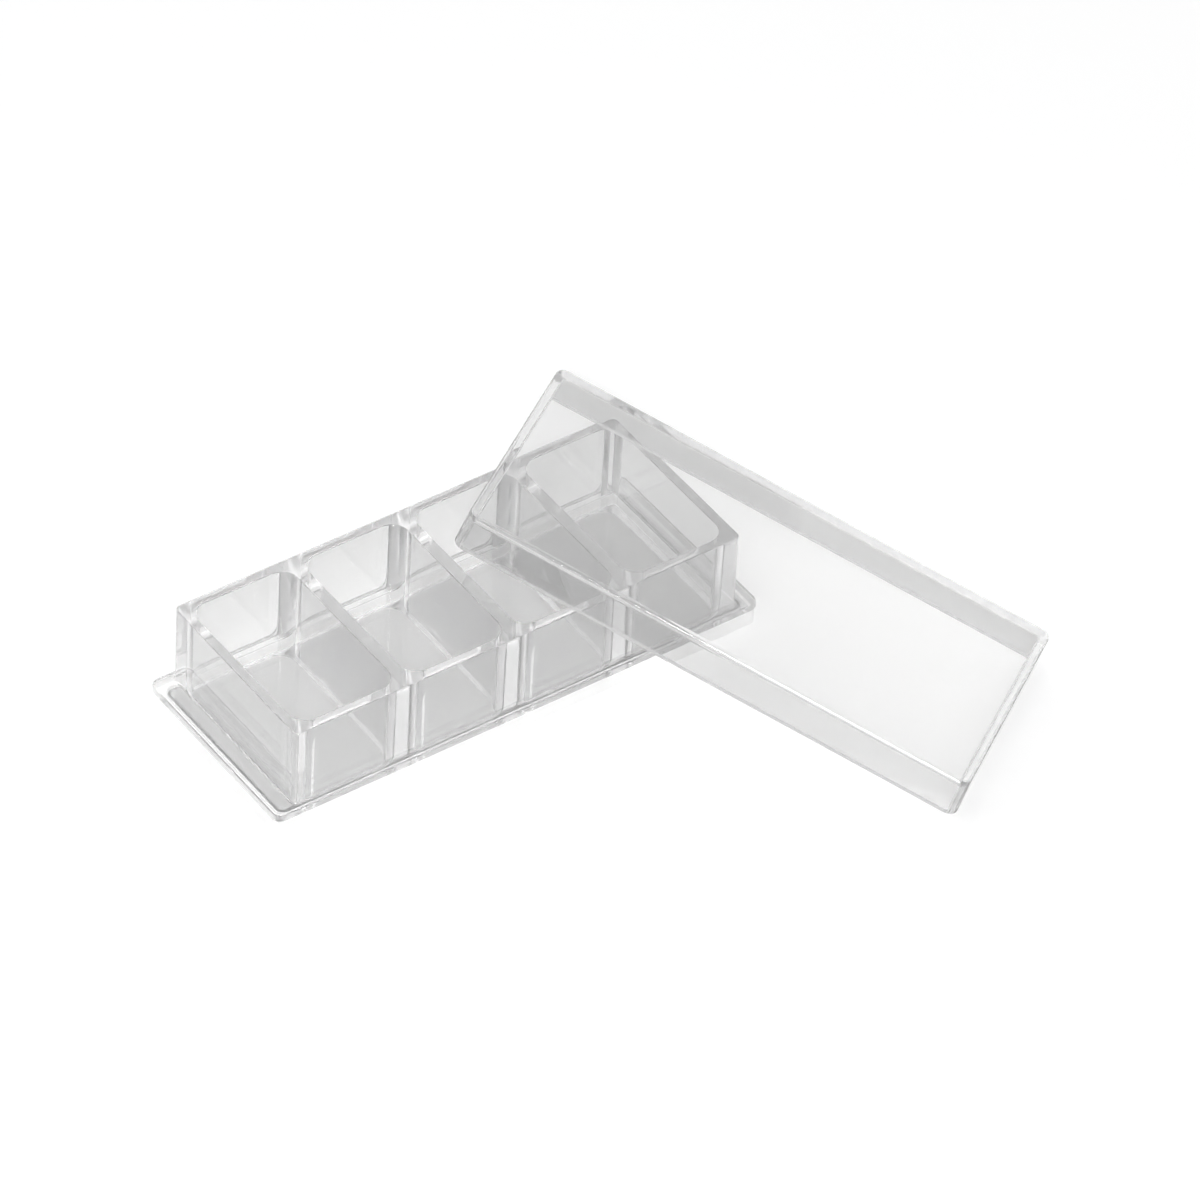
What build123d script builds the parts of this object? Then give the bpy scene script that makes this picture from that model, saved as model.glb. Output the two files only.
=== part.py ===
"""Four-well chamber slide, with its lid set down askew across one end.

Millimetres, +Z up. The origin is the centre of the slide's underside, on the table. +X runs
along the slide to the end that the lid leans on, and +Y to the side away from the lid.

chamber_body  clear polystyrene moulding: four wells, flange and skirt in one piece
glass_slide   glass plate bonded into the skirt, the floor of all four wells
lid           clear polystyrene lid, leaning on two rims of the wells with one corner on the table
"""

import os
from math import asin, cos, radians, sin

from build123d import *

os.makedirs("parts", exist_ok=True)

# Base: the lip of the flange and, set in under it, the skirt that holds the glass.
base_length = 60.0
base_width = 24.0
base_corner = 1.0
flange_top = 2.85
lip_thickness = 0.9
lip_overhang = 0.12
lip_round = 0.15
skirt_wall = 0.95

# Glass slide in the skirt's recess, flush with its foot. Its top is the floor of the wells.
glass_thickness = 1.0
glass_corner = 0.8
glass_side_gap = 0.15

# Block of wells, set in from the edge of the flange. It is measured at the rim and grows
# downwards by the draft.
flange_end_margin = 2.5
flange_side_margin = 0.75
block_corner = 0.6
block_draft = 0.25
rim_height = 12.6
rim_round = 0.1
foot_round = 0.35

# Wells. Their size is taken at the rim and shrinks downwards by the draft.
well_count = 4
wall = 1.1
partition = 1.5
well_corner = 2.0
well_draft = 0.5

# Lid. When closed it goes over the block with a little play all round.
lid_play = 0.85
lid_height = 4.8
lid_plate = 1.0
lid_wall = 0.9
lid_corner = 1.2
lid_draft = 2.0
lid_edge_round = 0.45
lid_inner_round = 0.25

# How the lid lies. It meets the near rim and the end rim along one level line, which passes just
# clear of their round edges. The bearing of that line is measured from +X, the skew is the line's
# angle to the lid's short side, and the lid's upper end reaches past the near rim by the overhang.
lean_bearing = 35.4
lean_skew = 2.1
lean_overhang = 15.0
table_gap = 0.02

# Heights and plan sizes that follow from the ones above. The lid is measured at its mouth.
lip_underside = flange_top - lip_thickness
skirt_length = base_length - 2 * lip_overhang
skirt_width = base_width - 2 * lip_overhang
recess_length = skirt_length - 2 * skirt_wall
recess_width = skirt_width - 2 * skirt_wall
block_length = base_length - 2 * flange_end_margin
block_width = base_width - 2 * flange_side_margin
well_length = block_width - 2 * wall
well_width = (block_length - 2 * wall - (well_count - 1) * partition) / well_count
well_pitch = well_width + partition
lid_length = block_length + 2 * (lid_play + lid_wall)
lid_width = block_width + 2 * (lid_play + lid_wall)


def rounded_slab(length, width, corner, bottom, top):
    """Upright plate with round corners between two heights."""
    with BuildPart() as slab:
        with BuildSketch(Plane.XY.offset(bottom)):
            RectangleRounded(length, width, corner)
        extrude(amount=top - bottom)
    return slab.part


def tapered_block(length, width, corner, height, draft, edge_round):
    """Block that narrows upwards by the draft, with round corners and a round top edge."""
    with BuildPart() as block:
        with BuildSketch():
            RectangleRounded(length, width, corner)
        extrude(amount=height, taper=draft)
        fillet(block.faces().sort_by(Axis.Z)[-1].edges(), edge_round)
    return block.part


def lid_plane():
    """Plane of the lid's mouth as it leans: origin at the mouth's middle, x down the slope."""
    bearing, skew = radians(lean_bearing), radians(lean_skew)
    inner_width = lid_width - 2 * lid_wall
    line_length = inner_width / cos(skew)
    level = Vector(cos(bearing), sin(bearing), 0)
    downhill = Vector(sin(bearing), -cos(bearing), 0)
    contact = Vector(block_length / 2 - line_length * cos(bearing), -block_width / 2, rim_height)
    # Distance down the slope from the level line to the lowest point of the lid's round corner.
    reach = (lid_corner + (lid_length - lean_overhang - lid_corner) * cos(skew)
             + (lid_width - lid_wall - lid_corner) * sin(skew))
    tilt = asin((rim_height - table_gap) / reach)
    slope = downhill * cos(tilt) - Vector(0, 0, 1) * sin(tilt)
    along = slope * cos(skew) - level * sin(skew)
    across = level * cos(skew) + slope * sin(skew)
    middle = (contact + along * (lid_length / 2 - lean_overhang)
              + across * (lid_width / 2 - lid_wall))
    return Plane(origin=middle, x_dir=along, z_dir=along.cross(across))


# Chamber body: skirt and lip, the block on top, then the wells and the glass recess.
with BuildPart() as lip:
    add(rounded_slab(base_length, base_width, base_corner, lip_underside, flange_top))
    lip_faces = lip.faces().sort_by(Axis.Z)
    fillet(lip_faces[0].edges() + lip_faces[-1].edges(), lip_round)

with BuildPart() as body:
    add(rounded_slab(skirt_length, skirt_width, base_corner - lip_overhang, 0, lip_underside))
    add(lip.part)
    with BuildSketch(Plane.XY.offset(rim_height)):
        RectangleRounded(block_length, block_width, block_corner)
    extrude(amount=flange_top - rim_height, taper=-block_draft)
    flange_face = body.faces().filter_by(Plane.XY).filter_by(
        lambda face: abs(face.center().Z - flange_top) < lip_round)[0]
    fillet(flange_face.inner_wires()[0].edges(), foot_round)
    with BuildSketch(Plane.XY.offset(rim_height)):
        with GridLocations(well_pitch, 0, well_count, 1):
            RectangleRounded(well_width, well_length, well_corner)
    extrude(amount=glass_thickness - rim_height, taper=well_draft, mode=Mode.SUBTRACT)
    add(rounded_slab(recess_length, recess_width, glass_corner + glass_side_gap, 0, glass_thickness),
        mode=Mode.SUBTRACT)
    fillet(body.faces().sort_by(Axis.Z)[-1].edges(), rim_round)

glass = rounded_slab(recess_length - 2 * glass_side_gap, recess_width - 2 * glass_side_gap,
                     glass_corner, 0, glass_thickness)

# Lid: a drafted cap, hollowed from the mouth, moved to where it leans.
lid_outside = tapered_block(lid_length, lid_width, lid_corner, lid_height, lid_draft,
                            lid_edge_round)
lid_inside = tapered_block(lid_length - 2 * lid_wall, lid_width - 2 * lid_wall,
                           lid_corner - lid_wall, lid_height - lid_plate, lid_draft,
                           lid_inner_round)
lid = lid_plane().location * (lid_outside - lid_inside)

export_step(body.part, "parts/chamber_body.step")
export_step(glass, "parts/glass_slide.step")
export_step(lid, "parts/lid.step")
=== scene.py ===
# %% [markdown]
# # A four-well chamber slide in clear plastic
# A chamber slide is a moulded block of open wells on a glass plate. Cells grow in the wells and
# are looked at from below, through the glass. A shallow lid covers the block. Here it has been
# taken off and put down across one end, so that it leans on two rims with one corner on the table.
#
# Nothing here moves them or changes their mesh.

# %% Load the pieces, and a way to measure them
import math

import bpy
from mathutils import Matrix, Vector


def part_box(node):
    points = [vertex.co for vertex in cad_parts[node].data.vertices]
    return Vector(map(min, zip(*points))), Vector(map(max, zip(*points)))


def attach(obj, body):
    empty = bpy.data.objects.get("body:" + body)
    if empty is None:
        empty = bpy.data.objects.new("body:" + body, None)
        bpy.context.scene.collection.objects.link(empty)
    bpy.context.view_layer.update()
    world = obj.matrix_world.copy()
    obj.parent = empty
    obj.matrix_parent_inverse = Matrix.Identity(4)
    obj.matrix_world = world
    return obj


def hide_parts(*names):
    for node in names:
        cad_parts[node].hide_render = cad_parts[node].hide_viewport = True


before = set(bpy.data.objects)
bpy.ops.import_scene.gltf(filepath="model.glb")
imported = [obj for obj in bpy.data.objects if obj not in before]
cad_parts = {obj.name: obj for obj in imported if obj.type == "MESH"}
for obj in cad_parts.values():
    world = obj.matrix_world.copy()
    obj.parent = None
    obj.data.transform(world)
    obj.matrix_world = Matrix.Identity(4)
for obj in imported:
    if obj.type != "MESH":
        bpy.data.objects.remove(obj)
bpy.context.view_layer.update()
mm = 0.001
body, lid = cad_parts["chamber_body"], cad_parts["lid"]
print("pieces:", sorted(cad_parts))

# %% [markdown]
# Colours are written as the hex values that a paint program shows. Shaders work in linear light,
# so one function turns the one into the other. A second one adds a node to a material's tree,
# gives its inputs their values, and links an input wherever it is handed a socket. An input with
# no name of its own is given by its number. Two more fade between a pair of colours or a pair of
# numbers, which is how one material gets two finishes.

# %% Colours and nodes
def linear(hex_colour):
    channels = [int(hex_colour[i:i + 2], 16) / 255 for i in (1, 3, 5)]
    return [c / 12.92 if c <= 0.04045 else ((c + 0.055) / 1.055) ** 2.4 for c in channels] + [1.0]


def add_node(tree, kind, settings=None, **inputs):
    node = tree.nodes.new(kind)
    for name, value in (settings or {}).items():
        setattr(node, name, value)
    for name, value in inputs.items():
        socket = node.inputs[int(name[1:]) if name[0] == "_" else name.replace("_", " ")]
        if isinstance(value, bpy.types.NodeSocket):
            tree.links.new(value, socket)
        else:
            socket.default_value = value
    return node


def fade_colour(tree, amount, first, second):
    """Colour that goes from the first to the second as the amount goes from 0 to 1."""
    mix = add_node(tree, "ShaderNodeMix", {"data_type": "RGBA"}, _0=amount, _6=linear(first),
                   _7=linear(second))
    return mix.outputs[2]


def fade_number(tree, amount, first, second):
    """Number that goes from the first to the second as the amount goes from 0 to 1."""
    return add_node(tree, "ShaderNodeMapRange", Value=amount, To_Min=first, To_Max=second).outputs[0]


def fade_in(tree, value, start, end):
    """Amount that goes from 0 to 1 as the value goes from the start to the end."""
    return add_node(tree, "ShaderNodeMapRange", Value=value, From_Min=start, From_Max=end).outputs[0]


def combine(tree, operation, *values):
    """One sum on one or two values, by the name that the Math node gives it."""
    inputs = {f"_{number}": value for number, value in enumerate(values)}
    return add_node(tree, "ShaderNodeMath", {"operation": operation}, **inputs).outputs[0]


def empty_material(name):
    material = bpy.data.materials.new(name)
    material.use_nodes = True
    material.node_tree.nodes.clear()
    return material, material.node_tree


print("mid grey in linear light:", [round(c, 3) for c in linear("#808080")])

# %% [markdown]
# All three pieces are clear, so they share one recipe: a polished surface that bends light by its
# refractive index, with a trace of tint and a trace of haze. A Glass shader could do the bending
# alone, but the Principled one takes haze as well, as whatever its transmission leaves out. Tint
# and haze add up with each wall that is looked through, which is what makes clear plastic look
# light grey on a white table. Crystal polystyrene bends light more strongly (1.59) than drawn
# glass (1.52), so its edges glitter more.
#
# A renderer tests for shadow along straight lines and takes a surface that bends light as solid,
# so a clear piece would cast a black shadow. For that test alone the surface is a plain filter.
# An upright wall turns more light aside than a plate that lies flat, so the filter has two shades.

# %% Clear material
styrene_index, glass_index = 1.59, 1.52
upright_limit, flat_limit = 0.6, 0.8


def clear_material(name, index, tint, clearness, wall_shadow, flat_shadow):
    material, tree = empty_material(name)
    clear = add_node(tree, "ShaderNodeBsdfPrincipled", Base_Color=linear(tint), Roughness=0.0,
                     IOR=index, Transmission_Weight=clearness)
    surface = add_node(tree, "ShaderNodeNewGeometry")
    direction = add_node(tree, "ShaderNodeSeparateXYZ", Vector=surface.outputs["True Normal"])
    flatness = combine(tree, "ABSOLUTE", direction.outputs["Z"])
    lying = fade_in(tree, flatness, upright_limit, flat_limit)
    shade = fade_colour(tree, lying, wall_shadow, flat_shadow)
    passing = add_node(tree, "ShaderNodeBsdfTransparent", Color=shade)
    path = add_node(tree, "ShaderNodeLightPath")
    mix = add_node(tree, "ShaderNodeMixShader", _0=path.outputs["Is Shadow Ray"],
                   _1=clear.outputs[0], _2=passing.outputs[0])
    add_node(tree, "ShaderNodeOutputMaterial", Surface=mix.outputs[0])
    return material, tree, clear


def dress(piece, material):
    for slot in piece.material_slots:
        slot.material = material
    print(piece.name, "-", len(piece.data.polygons), "faces in", material.name)


# %% [markdown]
# The chamber body is one injection moulding: the wells, the flange around their foot and the low
# skirt under it. The wells are polished in the mould, since they are looked through. The outside
# of the skirt is where fingers hold the slide, and its cavity is spark-finished, which leaves a
# matt face that shows pale. A second material on those faces would do the same, but the mesh is
# the measured one and stays as it is. So the zone is found in the shader, from where a point lies
# on the piece: below the lip of the flange and on the outermost face. It reaches in by the depth
# of the round corners.

# %% Zone of the matt skirt
lip_underside, lip_overhang, corner_depth = 1.95 * mm, 0.12 * mm, 0.3 * mm
low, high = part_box("chamber_body")
skirt_reach = {"X": high[0] - lip_overhang - corner_depth, "Y": high[1] - lip_overhang - corner_depth}


def skirt_zone(tree):
    """1 on the outside of the skirt, or else 0."""
    place = add_node(tree, "ShaderNodeTexCoord")
    axes = add_node(tree, "ShaderNodeSeparateXYZ", Vector=place.outputs["Object"])
    past_end, past_side = (
        combine(tree, "GREATER_THAN", combine(tree, "ABSOLUTE", axes.outputs[axis]), reach)
        for axis, reach in skirt_reach.items())
    below = combine(tree, "LESS_THAN", axes.outputs["Z"], lip_underside)
    return combine(tree, "MULTIPLY", combine(tree, "MAXIMUM", past_end, past_side), below)


print("the skirt is matt beyond", {axis: round(reach / mm, 2) for axis, reach in skirt_reach.items()}, "mm")

# %% [markdown]
# The body's material then fades from the clear wells to the matt skirt. The skirt lets a quarter
# of the light through, scatters the rest, and has the satin gloss of a fine spark finish.

# %% Chamber body
well_tint, well_clearness = "#E8E8E8", 0.93
skirt_tint, skirt_clearness, skirt_roughness = "#FAFAFA", 0.25, 0.35
polystyrene, tree, clear = clear_material("clear moulded polystyrene, matt skirt", styrene_index,
                                          well_tint, well_clearness, "#F2F2F2", "#F4F4F4")
skirt = skirt_zone(tree)
tree.links.new(fade_colour(tree, skirt, well_tint, skirt_tint), clear.inputs["Base Color"])
tree.links.new(fade_number(tree, skirt, well_clearness, skirt_clearness),
               clear.inputs["Transmission Weight"])
tree.links.new(fade_number(tree, skirt, 0.0, skirt_roughness), clear.inputs["Roughness"])
dress(body, polystyrene)

# %% [markdown]
# The lid is moulded in the same plastic. Its plate is polished, so that the wells can be seen
# with the lid on. Its skirt is given a darker tint and a little more haze than the plate. That is
# painted shade, standing in for the grey that its upright walls show, so the skirt looks greyer.
# The lid lies at a slant, so its zones are easier to tell apart by the direction of the face than
# by place. The largest face is the plate's, and how far any other face turns away from it says
# where the skirt begins.

# %% Lid
plate_up = tuple(max(lid.data.polygons, key=lambda face: face.area).normal)
turned_away, faces_along = 0.85, 0.99
plate_tint, plate_clearness = "#ECECEC", 0.98
# The skirt's darker tint, with its extra haze, is painted shade.
lid_skirt_painted_shade, lid_skirt_clearness = "#DDDDDD", 0.93
lid_styrene, tree, clear = clear_material("clear moulded polystyrene, skirt tinted with painted shade", styrene_index,
                                          plate_tint, plate_clearness, "#E0E0E0", "#E2E2E2")
surface = add_node(tree, "ShaderNodeNewGeometry")
facing = add_node(tree, "ShaderNodeVectorMath", {"operation": "DOT_PRODUCT"},
                  _0=surface.outputs["Normal"], _1=plate_up)
plate = fade_in(tree, combine(tree, "ABSOLUTE", facing.outputs["Value"]), turned_away, faces_along)
# The skirt faces get the darker tint, which is painted shade.
tree.links.new(fade_colour(tree, plate, lid_skirt_painted_shade, plate_tint), clear.inputs["Base Color"])
tree.links.new(fade_number(tree, plate, lid_skirt_clearness, plate_clearness),
               clear.inputs["Transmission Weight"])
dress(lid, lid_styrene)
print("the plate faces", [round(c, 4) for c in plate_up])

# %% [markdown]
# The floor of the wells is a separate plate of drawn glass, bonded into the recess under the
# moulding. It is cut with slightly round corners. The measured plate touches the moulding face to
# face, and two clear faces in exactly the same place confuse refraction. So the plate is remade as
# a box with its four upright edges bevelled, which leaves a bond line of two hundredths of a
# millimetre above it, and it replaces the measured one.

# %% Glass slide
glass_corner, corner_steps, bond_line = 0.8 * mm, 6, 0.02 * mm
low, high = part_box("glass_slide")
top = high[2] - bond_line
bpy.ops.object.select_all(action="DESELECT")
bpy.ops.mesh.primitive_cube_add(size=1.0, location=(0, 0, top / 2),
                                scale=(high[0] - low[0], high[1] - low[1], top))
glass = bpy.context.object
glass.name = "glass_plate"
bpy.ops.object.transform_apply(location=True, rotation=True, scale=True)
bpy.ops.object.mode_set(mode="EDIT")
bpy.ops.mesh.select_all(action="DESELECT")
bpy.ops.object.mode_set(mode="OBJECT")
corners = glass.data.vertices
for edge in glass.data.edges:
    start, end = (corners[i].co for i in edge.vertices)
    edge.select = abs(start.z - end.z) > bond_line
print("upright edges to bevel:", sum(edge.select for edge in glass.data.edges))
bpy.ops.object.mode_set(mode="EDIT")
bpy.ops.mesh.bevel(offset=glass_corner, segments=corner_steps, affect="EDGES")
bpy.ops.object.mode_set(mode="OBJECT")
plate_glass = clear_material("clear drawn glass", glass_index, "#E4E4E4", 0.98, "#C8C8C8", "#C8C8C8")[0]
glass.data.materials.append(plate_glass)
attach(glass, "root")
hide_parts("glass_slide")
print(glass.name, "-", len(glass.data.polygons), "faces, top at", round(top / mm, 2), "mm")

# %% [markdown]
# The slide stands on a white matt table, a hair's breadth above it so that the two don't share a
# plane. A shadow catcher could stand in for the table, but a real surface also throws light up
# into the clear walls, and keeps the soft shadow that shows where the skirt and the lid's corner
# touch down. Under the lamps it comes out white, so the clear pieces read against it by their
# edges and their trace of grey.

# %% Table
table_size, table_gap = 6.0, 0.05 * mm
bpy.ops.object.select_all(action="DESELECT")
bpy.ops.mesh.primitive_plane_add(size=table_size, location=(0, 0, -table_gap))
table = bpy.context.object
table.name = "table"
bpy.ops.object.transform_apply(location=True)
laminate, tree = empty_material("white matt laminate")
paint = add_node(tree, "ShaderNodeBsdfDiffuse", Color=linear("#F5F5F5"))
add_node(tree, "ShaderNodeOutputMaterial", Surface=paint.outputs[0])
table.data.materials.append(laminate)
print("table", [round(side, 2) for side in table.dimensions])

# %% [markdown]
# The room around the table is white. A picture of a studio could be wrapped around the scene, but
# a plain room is enough for a clear object. What the plastic shows by reflection and by looking
# through it is the same white as the background, a little darker overhead, so that the bent light
# in the edges has something to vary between. The even light that the room sheds is set apart from
# that, and is weaker, so that it doesn't wash out the lamps.

# %% White room
side_white, overhead_white, backdrop_strength, room_strength = "#FFFFFF", "#F8F8F8", 1.0, 0.6
side_height, overhead_height = 0.3, 0.8
room = bpy.data.worlds.new("white room")
bpy.context.scene.world = room
room.use_nodes = True
tree = room.node_tree
tree.nodes.clear()
path = add_node(tree, "ShaderNodeLightPath")
seen = path.outputs["Is Camera Ray"]
for ray in ("Is Transmission Ray", "Is Glossy Ray"):
    seen = combine(tree, "MAXIMUM", seen, path.outputs[ray])
sky = add_node(tree, "ShaderNodeTexCoord")
height = add_node(tree, "ShaderNodeSeparateXYZ", Vector=sky.outputs["Generated"])
overhead = fade_in(tree, height.outputs["Z"], side_height, overhead_height)
backdrop = add_node(tree, "ShaderNodeBackground", Strength=backdrop_strength,
                    Color=fade_colour(tree, overhead, side_white, overhead_white))
room_light = add_node(tree, "ShaderNodeBackground", Color=linear(side_white), Strength=room_strength)
mix = add_node(tree, "ShaderNodeMixShader", _0=seen, _1=room_light.outputs[0],
               _2=backdrop.outputs[0])
add_node(tree, "ShaderNodeOutputWorld", Surface=mix.outputs[0])
print("room light", room_strength, "and backdrop", backdrop_strength)

# %% [markdown]
# Softboxes do the rest. The main one stands just behind the camera, so each wall's soft shadow
# lies behind the wall and none spreads beside the slide. One hangs overhead, and three narrow
# ones stand around the table to put bright lines on the round corners of the wells. The lamps
# show in reflections, but not through the plastic, where they would sparkle.

# %% Lamps
def on_dome(azimuth, elevation, distance):
    """Point on a dome around the slide; azimuth 0 is in front of it and grows towards +X."""
    a, e = math.radians(azimuth), math.radians(elevation)
    return Vector((math.cos(e) * math.sin(a), -math.cos(e) * math.cos(a), math.sin(e))) * distance


def softbox(name, place, width, height, power):
    data = bpy.data.lights.new(name, "AREA")
    data.shape = "RECTANGLE"
    data.size, data.size_y, data.energy = width, height, power
    lamp = bpy.data.objects.new(name, data)
    bpy.context.collection.objects.link(lamp)
    lamp.location = place
    lamp.rotation_euler = (-place).to_track_quat("-Z", "Y").to_euler()
    lamp.visible_transmission = False
    print(name, [round(c, 2) for c in place], power, "W")


view_azimuth, view_elevation = -37.293, 42.458
softbox("main softbox", on_dome(view_azimuth, view_elevation, 1.05), 0.15, 0.15, power=5.0)
softbox("overhead softbox", Vector((0.0, 0.1, 0.9)), 0.3, 0.3, power=0.6)
narrow_width, narrow_height, narrow_elevation, narrow_distance = 0.12, 0.3, 42, 1.0
for side, azimuth, power in (("back", 165, 0.7), ("left", -120, 0.9), ("right", 70, 0.9)):
    softbox(side + " softbox", on_dome(azimuth, narrow_elevation, narrow_distance), narrow_width,
            narrow_height, power)

# %% [markdown]
# The camera looks down on the near left corner from almost a metre away through a long lens,
# which keeps the slide's long sides nearly parallel. It leans over by a few degrees. Its place is
# worked out from the direction of view rather than typed in, so the view can be turned or drawn
# back by changing one number. It aims beside and above the slide's middle, to leave room for the
# lid.

# %% Camera
roll = math.radians(3.396)
lens_length, view_distance, far_limit = 271.0, 932.5 * mm, 20
slide_middle = Vector((0, -1.98 * mm, 4.0 * mm))
aim_across, aim_upward = 13.77 * mm, 4.71 * mm
to_camera = on_dome(view_azimuth, view_elevation, 1.0)
level = (-to_camera).cross(Vector((0, 0, 1))).normalized()
rise = level.cross(-to_camera)
across = level * math.cos(roll) + rise * math.sin(roll)
upward = rise * math.cos(roll) - level * math.sin(roll)
camera_data = bpy.data.cameras.new("camera")
camera_data.lens = lens_length
camera_data.clip_end = far_limit
camera = bpy.data.objects.new("camera", camera_data)
bpy.context.collection.objects.link(camera)
camera.matrix_world = Matrix((across, upward, to_camera)).transposed().to_4x4()
camera.location = slide_middle + across * aim_across + upward * aim_upward + to_camera * view_distance
bpy.context.scene.camera = camera
print("camera at", [round(c, 3) for c in camera.location])

# %% [markdown]
# Light in a clear edge is turned back inside it many times before it gets out. Each turn counts
# as a reflection, so the limits on reflections and on passes through a surface are raised well
# above the usual ones. With the usual ones the edges would come out black.

# %% Light paths
turns = 32
bpy.context.scene.view_settings.view_transform = "Standard"
cycles = bpy.context.scene.cycles
cycles.max_bounces = cycles.transmission_bounces = cycles.glossy_bounces = turns
cycles.transparent_max_bounces = turns
print("turns allowed:", cycles.max_bounces)
